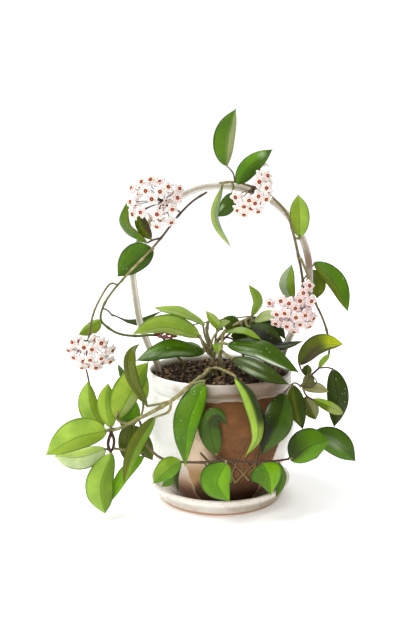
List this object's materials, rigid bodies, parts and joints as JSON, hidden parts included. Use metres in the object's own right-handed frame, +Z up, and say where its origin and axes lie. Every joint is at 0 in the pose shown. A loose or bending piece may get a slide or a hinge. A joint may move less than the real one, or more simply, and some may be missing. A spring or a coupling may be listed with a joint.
{
  "type": "potted hoya plant",
  "caption": "Potted hoya climbing a plastic hoop, its leafy vines trailing over a glazed clay pot that stands in a saucer, with star-flower umbels on the stems.",
  "frame": {"origin": "centre of the saucer's flat underside", "axes": "+Z up, -Y towards the viewer of the picture, +X to that viewer's right"},
  "size_m": [0.3533, 0.207, 0.4603],
  "materials": {
    "saucer": "white glaze, bare clay at the foot line",
    "pot": "white glaze at the collar and sides, bare clay front",
    "soil": "loose dark granules",
    "hoop": "cream, grooved",
    "plant": "waxy leaf",
    "flower": "velvety petal"
  },
  "bodies": {
    "root": {"saucer": "saucer", "pot": "pot", "soil": "soil", "hoop": "hoop", "stem_centre": "plant", "stem_right": "plant", "stem_back": "plant", "vine_front": "plant", "runner_front": "plant", "vine_left": "plant", "vine_right": "plant", "vine_droop": "plant", "umbel_left": "flower", "umbel_top": "flower", "umbel_right": "flower", "umbel_low": "flower"}
  },
  "joints": []
}
